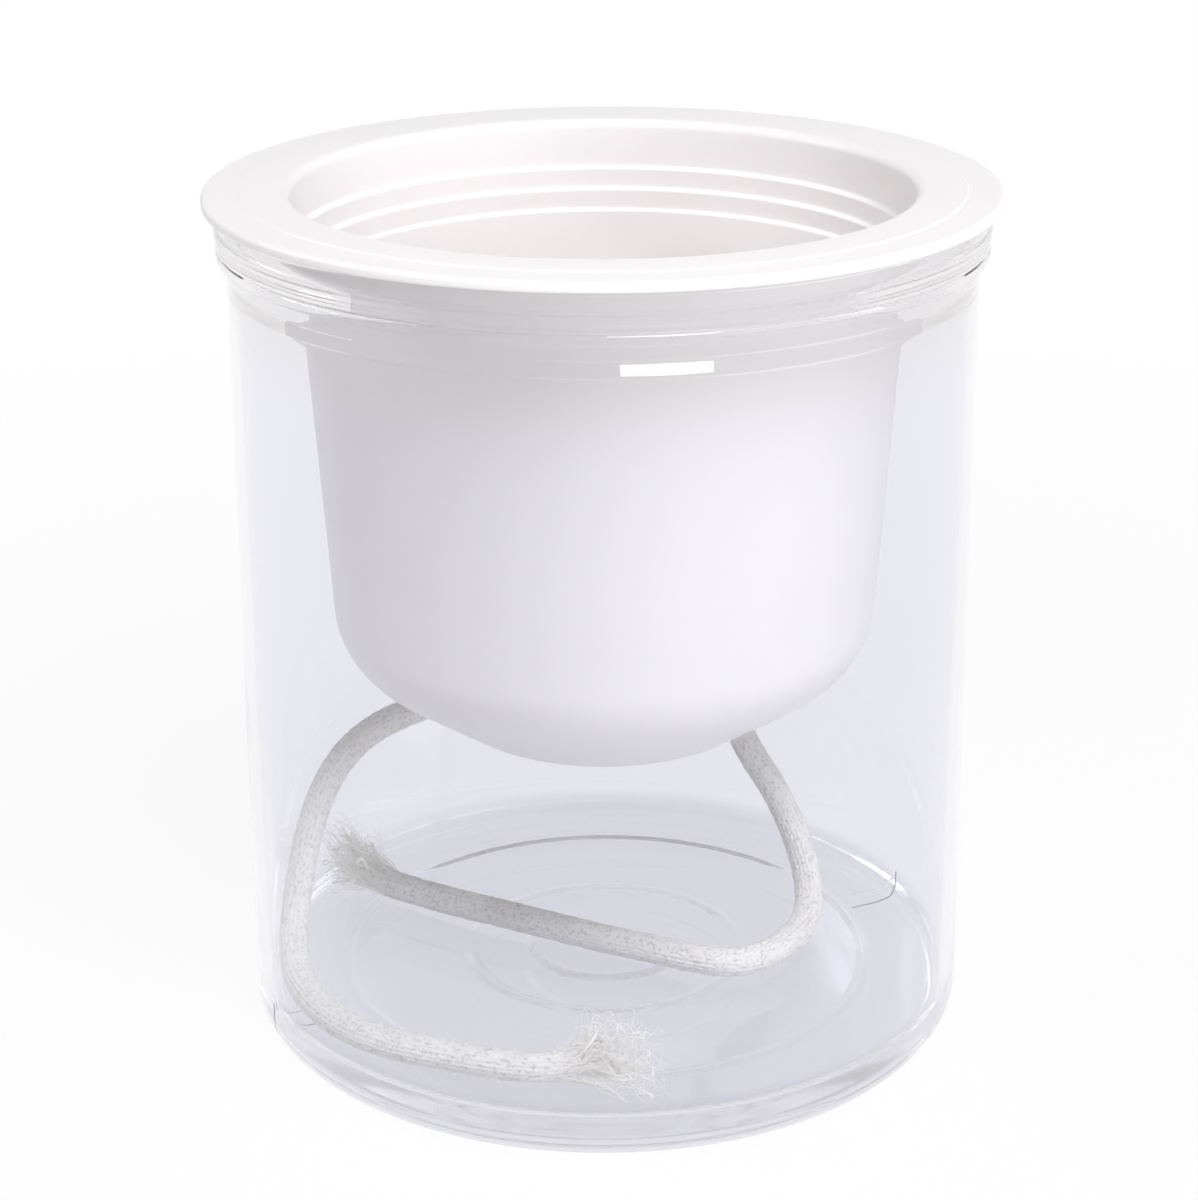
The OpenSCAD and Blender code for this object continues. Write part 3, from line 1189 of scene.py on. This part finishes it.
@dataclass
class Wick:
    """One braided cotton rope, threaded through both holes, with two legs and two frayed ends."""

    diameter: float = 0.006
    leg_start: float = 0.003
    leg_lead: float = 0.001
    loosened: float = 0.0045
    step: float = 0.00033
    smoothing: int = 50
    carriers: int = 20
    braid_slope: float = math.radians(40)
    crown: float = 0.00034
    weave: float = 0.00018
    unevenness: float = 0.45
    swell_pitch: float = 0.0043
    wander: float = 0.11
    wander_pitches: tuple = (0.0131, 0.0079, 0.0047)
    around: int = 104
    seed: int = 17
    lowest: float = 0.0100
    curve_steps: int = 24
    least_crown: float = 0.2
    cap_value: float = 0.5
    widest: float = 0.0672
    run_route: tuple = (
        (-0.0174, 0.0164, 0.0769), (-0.0099, 0.015, 0.0811), (-0.0013, 0.015, 0.0827),
        (0.0071, 0.0165, 0.0811), (0.0142, 0.0191, 0.0769),
    )
    left_route: tuple = (
        (-0.0292, 0.0239, 0.0583), (-0.0337, 0.0243, 0.0549), (-0.0393, 0.0224, 0.0532),
        (-0.0453, 0.0186, 0.052), (-0.0512, 0.013, 0.0498), (-0.0558, 0.0076, 0.0456),
        (-0.0589, 0.0032, 0.04), (-0.061, -0.001, 0.0335), (-0.0622, -0.005, 0.027),
        (-0.0628, -0.009, 0.0215), (-0.0626, -0.0138, 0.0172), (-0.0608, -0.0205, 0.0144),
        (-0.0574, -0.028, 0.0133), (-0.0525, -0.036, 0.013), (-0.046, -0.0427, 0.013),
        (-0.0385, -0.0476, 0.013), (-0.03, -0.0509, 0.013), (-0.022, -0.0538, 0.013),
        (-0.0155, -0.0555, 0.013), (-0.0095, -0.0558, 0.0132), (-0.005, -0.0547, 0.0137),
    )
    right_route: tuple = (
        (0.0243, 0.028, 0.0575), (0.0261, 0.0272, 0.052), (0.0282, 0.024, 0.0476),
        (0.0312, 0.0198, 0.043), (0.035, 0.0164, 0.038), (0.038, 0.0141, 0.0325),
        (0.0403, 0.0125, 0.027), (0.042, 0.0105, 0.021), (0.0424, 0.006, 0.0168),
        (0.041, 0.0, 0.0148), (0.0375, -0.007, 0.0144), (0.0323, -0.0135, 0.0144),
        (0.025, -0.017, 0.0144), (0.0163, -0.0145, 0.0144), (0.0082, -0.0103, 0.0144),
        (0.0, -0.0066, 0.0144), (-0.01, -0.0012, 0.0144), (-0.0205, 0.0046, 0.0144),
        (-0.031, 0.0108, 0.014), (-0.0388, 0.016, 0.0137), (-0.046, 0.021, 0.0135),
        (-0.049, 0.023, 0.0142),
    )

    def centreline(self, insert: InsertPot) -> tuple[Strand, int, int]:
        """Runs the rope from its front end through both holes to its back end.

        Args:
            insert: The insert, which gives the holes' axes.

        Returns:
            The whole rope, and the numbers of the points where its legs leave the insert.
        """
        left, right = insert.hole_azimuths
        stops = (self.leg_start + self.leg_lead, self.leg_start, -self.leg_start, -self.diameter)
        into = [insert.on_hole(left, stop) for stop in stops]
        out = [insert.on_hole(right, stop) for stop in reversed(stops)]
        exits = [into[1], out[2]]
        through = [*into, *self.run_route, *out]
        route = np.array([*reversed(self.left_route), *through, *self.right_route])
        points = self._smooth(self._curve(route))
        steps = np.linalg.norm(np.diff(points, axis=0), axis=1)
        distances = np.concatenate([[0.0], np.cumsum(steps)])
        headings = np.gradient(points, axis=0)
        headings /= np.linalg.norm(headings, axis=1)[:, None]
        sides = np.zeros_like(points)
        side = np.array([0.0, 0.0, 1.0])
        for i, heading in enumerate(headings):
            side = unit(side - (side @ heading) * heading)
            sides[i] = side
        first, last = (int(np.argmin(np.linalg.norm(points - place, axis=1))) for place in exits)
        return Strand(points, headings, sides, distances), first, last

    def _curve(self, route: np.ndarray) -> np.ndarray:
        """Draws a smooth curve through a route's points.

        Args:
            route: The points.

        Returns:
            Points along the curve, one step apart.
        """
        knots = np.vstack([2 * route[0] - route[1], route, 2 * route[-1] - route[-2]])
        t = np.linspace(0, 1, self.curve_steps, endpoint=False)[:, None]
        dense = []
        for a, b, c, d in zip(knots, knots[1:], knots[2:], knots[3:]):
            square = 2 * a - 5 * b + 4 * c - d
            cube = 3 * b - a - 3 * c + d
            dense.append(0.5 * (2 * b + (c - a) * t + square * t**2 + cube * t**3))
        return self._even(np.vstack([*dense, route[-1:]]))

    def _even(self, line: np.ndarray) -> np.ndarray:
        """Spaces a line's points evenly.

        Args:
            line: The points.

        Returns:
            Points one step apart.
        """
        walked = np.concatenate([[0.0], np.cumsum(np.linalg.norm(np.diff(line, axis=0), axis=1))])
        stops = np.linspace(0, walked[-1], int(walked[-1] / self.step) + 1)
        return np.stack([np.interp(stops, walked, line[:, k]) for k in range(3)], axis=1)

    def _smooth(self, line: np.ndarray) -> np.ndarray:
        """Evens out the curve's bends and leaves its ends.

        Args:
            line: The points.

        Returns:
            The smoothed points.
        """
        for _ in range(self.smoothing):
            line[1:-1] = (line[:-2] + 2 * line[1:-1] + line[2:]) / 4
        return self._even(line)

    def braid(self, name: str, strand: Strand) -> bpy.types.Mesh:
        """Builds a braided surface round a stretch of the rope.

        Args:
            name: The mesh's name.
            strand: The stretch.

        Returns:
            A closed mesh with a UV map and the attributes relief and lean.
        """
        radius = self.diameter / 2
        turn = np.arange(self.around) * (math.tau / self.around)
        twist = math.tan(self.braid_slope) / radius
        angle = turn[None, :]
        run = strand.distances[:, None] * twist
        one = (angle - run + self._wandering(strand.distances, 2)) * self.carriers / math.tau
        two = (angle + run + self._wandering(strand.distances, 3)) * self.carriers / math.tau
        sway = np.cos(self.carriers * angle / 2) * np.ones_like(one)
        high_one = self._yarns(one, strand.distances, 0) + sway * self.weave
        high_two = self._yarns(two, strand.distances, 1) - sway * self.weave
        height = np.maximum(high_one, high_two)
        lean = (high_one > high_two).astype(float)
        tall = self.crown + self.weave
        reach = radius - tall + height
        up = np.cross(strand.headings, strand.sides)
        cosine, sine = np.cos(angle)[..., None], np.sin(angle)[..., None]
        ring = cosine * strand.sides[:, None] + sine * up[:, None]
        points = (strand.points[:, None] + ring * reach[..., None]).reshape(-1, 3)
        rows = len(strand.points)
        n = self.around
        grid = np.arange(rows * n).reshape(rows, n)
        after = np.roll(grid, -1, axis=1)
        quads = np.stack([grid[:-1], after[:-1], after[1:], grid[1:]], axis=-1).reshape(-1, 4)
        first, last = rows * n, rows * n + 1
        caps = [(first, int(b), int(a)) for a, b in zip(grid[0], after[0])]
        caps += [(last, int(a), int(b)) for a, b in zip(grid[-1], after[-1])]
        points = np.vstack([points, strand.points[:1], strand.points[-1:]])
        mesh = bpy.data.meshes.new(name)
        mesh.from_pydata(points.tolist(), [], quads.tolist() + caps)
        for label, field in (("relief", height / tall), ("lean", lean)):
            layer = mesh.attributes.new(label, "FLOAT", "POINT")
            values = np.concatenate([field.ravel(), [self.cap_value, self.cap_value]])
            layer.data.foreach_set("value", values.astype(np.float32))
        self._lay_uv(mesh, quads, strand)
        mesh.shade_smooth()
        return mesh

    def _wandering(self, distances: np.ndarray, way: int) -> np.ndarray:
        """Works out how far the yarns that run one way stray round the rope.

        Args:
            distances: The rows' distances along the rope.
            way: A number that sets the way's own phases.

        Returns:
            An angle for each row.
        """
        rng = np.random.default_rng(self.seed + way)
        waves = [
            np.sin(math.tau * distances / pitch + rng.uniform(0.0, math.tau))
            for pitch in self.wander_pitches
        ]
        return self.wander * np.sum(waves, axis=0)[:, None]

    def _yarns(self, place: np.ndarray, distances: np.ndarray, way: int) -> np.ndarray:
        """Works out how high the yarns that run one way stand, each a little unlike the next.

        Args:
            place: Each point's place across the yarns, where a whole number is a new yarn.
            distances: The rows' distances along the rope.
            way: Which of the two ways the yarns run.

        Returns:
            Their heights.
        """
        rng = np.random.default_rng(self.seed + way)
        lift = rng.uniform(1 - self.unevenness, 1.0, self.carriers)
        phase = rng.uniform(0.0, math.tau, self.carriers)
        yarn = np.floor(place).astype(int) % self.carriers
        swell = np.sin(math.tau * distances[:, None] / self.swell_pitch + phase[yarn])
        crown = np.sqrt(np.clip(1 - (2 * (place % 1) - 1) ** 2, 0, 1))
        rise = (lift[yarn] + swell * self.unevenness / 2).clip(self.least_crown, 1.0)
        return crown * self.crown * rise

    def _lay_uv(self, mesh: bpy.types.Mesh, quads: np.ndarray, strand: Strand) -> None:
        """Gives a braided surface its UV map, as far round as along.

        Args:
            mesh: The mesh.
            quads: Its side faces.
            strand: The stretch that it follows.
        """
        n = self.around
        row = quads // n
        across = (quads[:, :1] % n + np.array([0, 1, 1, 0])) / n
        along = strand.distances[row] / (math.tau * self.diameter / 2)
        layer = mesh.uv_layers.new(name="rope")
        sides = np.stack([across, along], axis=-1).reshape(-1, 2)
        spots = np.zeros((len(mesh.loops), 2), dtype=np.float32)
        spots[: len(sides)] = sides
        layer.data.foreach_set("uv", spots.ravel())


def read_points(mesh: bpy.types.Mesh) -> np.ndarray:
    """Reads a mesh's points, one to a row."""
    points = np.empty(len(mesh.vertices) * 3)
    mesh.vertices.foreach_get("co", points)
    return points.reshape(-1, 3)


def lean_over(mesh: bpy.types.Mesh, root: np.ndarray, way: np.ndarray, lean: tuple) -> None:
    """Bends a frayed end over, more towards its tips.

    Args:
        mesh: The mesh.
        root: The point that it starts from.
        way: The unit vector that it points along.
        lean: How far its tips move.
    """
    points = read_points(mesh)
    along = ((points - root) @ way).clip(0.0)
    points += (along / along.max())[:, None] ** 2 * np.array(lean)
    mesh.vertices.foreach_set("co", points.ravel())


GLASS_GIVE = 0.8 * MM


def lay_on_floor(mesh: bpy.types.Mesh, lowest: float, widest: float) -> None:
    """Bends what would pass through the glass back inside it.

    Args:
        mesh: The mesh.
        lowest: The level that it stays above.
        widest: The radius that it stays within.
    """
    points = read_points(mesh)
    above = np.logaddexp(0.0, (points[:, 2] - lowest) / GLASS_GIVE)
    points[:, 2] = lowest + GLASS_GIVE * above
    reach = np.linalg.norm(points[:, :2], axis=1)
    inside = widest - GLASS_GIVE * np.logaddexp(0.0, (widest - reach) / GLASS_GIVE)
    points[:, :2] *= (inside / reach)[:, None]
    mesh.vertices.foreach_set("co", points.ravel())
    mesh.update()


class WickDresser:
    """Builds the rope's pieces and logs the length of its two legs."""

    def __init__(self, wick: Wick, insert: InsertPot) -> None:
        """Takes the rope and the insert that it is threaded through.

        Args:
            wick: The rope's sizes and route.
            insert: The insert.
        """
        self.wick = wick
        self.finish = Cotton()
        self.braid_material = self.finish.make_braid()
        self.yarn_material = self.finish.make_yarn()
        self.fuzz = fuzz_tree()
        self.tuft = tuft_tree()
        self.strand, self.left_exit, self.right_exit = wick.centreline(insert)

    def _place(self, piece: bpy.types.Object, node: str) -> None:
        """Puts a piece in a CAD node's stead, on the insert.

        Args:
            piece: The piece.
            node: The node.
        """
        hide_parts(node)
        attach(piece, Body.INSERT.value)

    def rope(self, name: str, node: str, strand: Strand) -> bpy.types.Object:
        """Builds one stretch of the rope with its stray fibres.

        Args:
            name: The piece's name.
            node: The CAD node that it stands for.
            strand: The stretch.

        Returns:
            The piece.
        """
        mesh = self.wick.braid(name, strand)
        mesh.materials.append(self.braid_material)
        piece = new_object(name, mesh)
        hair = new_object(name + "_hair", mesh.copy())
        self.fuzz.run(hair, Fuzz(), self.yarn_material)
        join(piece, [hair])
        self._place(piece, node)
        return piece

    def frayed_end(
        self, name: str, node: str, layers: tuple, lean: tuple, at_start: bool
    ) -> bpy.types.Object:
        """Spreads one end of the rope into loose yarns.

        Args:
            name: The piece's name.
            node: The CAD node that it stands for.
            layers: The sizes of its layers of yarns.
            lean: How far its tips lean over.
            at_start: Whether it is the end that the rope starts from.

        Returns:
            The piece.
        """
        end = 0 if at_start else -1
        way = self.strand.headings[end] * (-1 if at_start else 1)
        parts = []
        for sizes in layers:
            part = new_object(name, bpy.data.meshes.new(name))
            self.tuft.run(part, sizes, self.yarn_material)
            parts.append(part)
        piece = parts[0]
        join(piece, parts[1:])
        piece.name = name
        turn = Vector(way).to_track_quat("Z", "Y").to_matrix().to_4x4()
        root = self.strand.points[end] - way * self.wick.loosened
        piece.data.transform(Matrix.Translation(Vector(root)) @ turn)
        lean_over(piece.data, root, way, lean)
        lay_on_floor(piece.data, self.wick.lowest, self.wick.widest)
        self._place(piece, node)
        return piece

    def build(self) -> list[bpy.types.Object]:
        """Builds the whole wick.

        Returns:
            Its pieces.
        """
        last = len(self.strand.points) - 1
        left = self.strand.cut(0, self.left_exit)
        run = self.strand.cut(self.left_exit, self.right_exit)
        right = self.strand.cut(self.right_exit, last)
        front = self.frayed_end(
            "wick_frayed_front", "frayed_end_front", FRONT_TUFT, FRONT_LEAN, at_start=True
        )
        back = self.frayed_end(
            "wick_frayed_back", "frayed_end_back", BACK_TUFT, BACK_LEAN, at_start=False
        )
        left_leg = self.rope("wick_leg_left", "wick_left_leg", left)
        right_leg = self.rope("wick_leg_right", "wick_right_leg", right)
        arch = self.rope("wick_arch", "wick_run", run)
        for leg, strand, exit_point, tuft in (
            (left_leg, left, left.points[-1], front),
            (right_leg, right, right.points[0], back),
        ):
            strand.length
            strand.points[::3].tolist() + strand.points[-1:].tolist()
            log.info("%s is %.0f mm long", leg.name, strand.length / MM)
        return [left_leg, right_leg, arch, front, back]


def join(piece: bpy.types.Object, others: list[bpy.types.Object]) -> None:
    """Joins further meshes to a piece.

    Args:
        piece: The piece that stays.
        others: The pieces that go into it.
    """
    joined = [piece, *others]
    with bpy.context.temp_override(
        active_object=piece, selected_objects=joined, selected_editable_objects=joined
    ):
        bpy.ops.object.join()


@dataclass
class Studio:
    """The pale floor, the white backdrop, the soft lamps and the camera."""

    camera_place: tuple = (0.0, -0.540, 0.2883)
    camera_pitch: float = 0.3489
    camera_roll: float = 0.0037
    image_height: float = 1200.0
    focal_pixels: float = 2923.0
    centre_x: float = 600.5
    centre_y: float = 568.8
    middle_x: float = 599.0
    sensor: float = 36.0
    floor_size: float = 4.0
    floor_drop: float = 0.0002
    floor_colour: tuple = (0.9, 0.9, 0.9, 1.0)
    near_clip: float = 0.01
    aim: tuple = (0.0, 0.0, 0.09)
    lamps: tuple = (
        ("key_softbox", (0.277, -0.622, 1.138), (0.55, 0.55), 11.2),
        ("front_fill", (0.20, -1.25, 0.50), (1.6, 0.7), 2.6),
        ("right_fill", (1.15, -0.60, 0.30), (1.6, 0.5), 5.8),
        ("left_strip", (-1.12, 0.12, 0.70), (0.55, 0.10), 4.4),
    )
    white: tuple = (1.0, 1.0, 1.0, 1.0)
    bounces: int = 96
    soft_bounces: int = 10
    near_glow: float = 0.9
    glow_radius: float = 0.15
    glow_spread: float = 0.45
    horizon: float = 0.36
    zenith: float = 0.13

    def add_camera(self) -> None:
        """Puts the camera at the photograph's angle."""
        data = bpy.data.cameras.new("camera")
        data.sensor_width = self.sensor
        data.lens = self.focal_pixels * self.sensor / self.image_height
        data.shift_x = (self.middle_x - self.centre_x) / self.image_height
        data.shift_y = (self.centre_y - self.image_height / 2) / self.image_height
        data.clip_start = self.near_clip
        camera = bpy.data.objects.new("camera", data)
        camera.location = self.camera_place
        camera.rotation_euler = Euler((math.pi / 2 - self.camera_pitch, self.camera_roll, 0.0))
        bpy.context.scene.collection.objects.link(camera)
        bpy.context.scene.camera = camera

    def set_bounces(self) -> None:
        """Lets light bounce often enough to find its way out of the thick glass."""
        cycles = bpy.context.scene.cycles
        for kind in ("max", "glossy", "transmission", "transparent_max"):
            setattr(cycles, f"{kind}_bounces", self.bounces)
        cycles.diffuse_bounces = self.soft_bounces

    def _seen(self, nodes: NodeSet) -> Value:
        """Whether a ray comes from the camera, or from it by way of glass or gloss."""
        camera = nodes.add("ShaderNodeLightPath", out="Is Camera Ray")
        clear = nodes.other(camera, "Is Transmission Ray")
        gloss = nodes.other(camera, "Is Glossy Ray")
        return camera.larger(clear).larger(gloss)

    def add_floor(self) -> None:
        """Lays a pale floor that shows nearly white and keeps a faint shadow."""
        material, nodes = new_material("pale_floor")
        paint = nodes.add("ShaderNodeBsdfDiffuse", sockets={"Color": self.floor_colour})
        glow = nodes.add("ShaderNodeEmission", sockets={"Color": self.white, "Strength": 1.0})
        place = nodes.add("ShaderNodeTexCoord", out="Object")
        away = nodes.add("ShaderNodeVectorMath", {"operation": "LENGTH"}, {0: place}, out="Value")
        share = nodes.rise(away, self.glow_radius, self.glow_spread, self.near_glow)
        mixed = nodes.mix_shaders(self._seen(nodes) * share, paint, glow)
        nodes.add("ShaderNodeOutputMaterial", sockets={"Surface": mixed})
        half = self.floor_size / 2
        mesh = bpy.data.meshes.new("floor")
        corners = [(-half, -half), (half, -half), (half, half), (-half, half)]
        mesh.from_pydata([(x, y, -self.floor_drop) for x, y in corners], [], [(0, 1, 2, 3)])
        mesh.materials.append(material)
        new_object("floor", mesh)

    def light_world(self) -> None:
        """Fills the world with soft light, white where the camera sees it."""
        world = bpy.data.worlds.new("studio_world")
        world.use_nodes = True
        world.node_tree.nodes.clear()
        nodes = NodeSet(world.node_tree)
        way = nodes.add("ShaderNodeTexCoord", out="Generated")
        _, _, level = nodes.split(way)
        low = (1.0 - level.larger(0.0)) ** 2.0
        strength = low * (self.horizon - self.zenith) + self.zenith
        soft, seen = (
            nodes.add("ShaderNodeBackground", sockets={"Color": self.white, "Strength": glow})
            for glow in (strength, 1.0)
        )
        mixed = nodes.mix_shaders(self._seen(nodes), soft, seen)
        nodes.add("ShaderNodeOutputWorld", sockets={"Surface": mixed})
        bpy.context.scene.world = world

    def add_lamp(self, name: str, place: tuple, size: tuple, power: float) -> None:
        """Adds a soft oval lamp that faces the pot.

        Args:
            name: The lamp's name.
            place: Where it hangs.
            size: Its width and height.
            power: Its power in watts.
        """
        data = bpy.data.lights.new(name, "AREA")
        data.shape = "ELLIPSE"
        data.size, data.size_y = size
        data.energy = power
        lamp = bpy.data.objects.new(name, data)
        lamp.location = place
        aim = Vector(self.aim) - Vector(place)
        lamp.rotation_euler = aim.to_track_quat("-Z", "Y").to_euler()
        bpy.context.scene.collection.objects.link(lamp)

    def build(self) -> None:
        """Sets up the floor, the world, the lamps and the view."""
        self.set_bounces()
        self.add_floor()
        self.light_world()
        for lamp in self.lamps:
            self.add_lamp(*lamp)
        bpy.context.scene.view_settings.view_transform = "Standard"


def main() -> None:
    """Builds the camera, the wick, the insert, the vessel and the studio."""
    logging.basicConfig(level=logging.INFO, format="%(message)s")
    studio = Studio()
    studio.add_camera()
    insert = InsertPot()
    pieces = WickDresser(Wick(), insert).build()
    pieces.append(insert.build(SatinPlastic().make()))
    pieces.append(ReservoirVessel().build(ClearGlass().make()))
    for piece in pieces:
        log.info("%s has %d faces", piece.name, len(piece.data.polygons))
    studio.build()


if __name__ == "__main__":
    main()
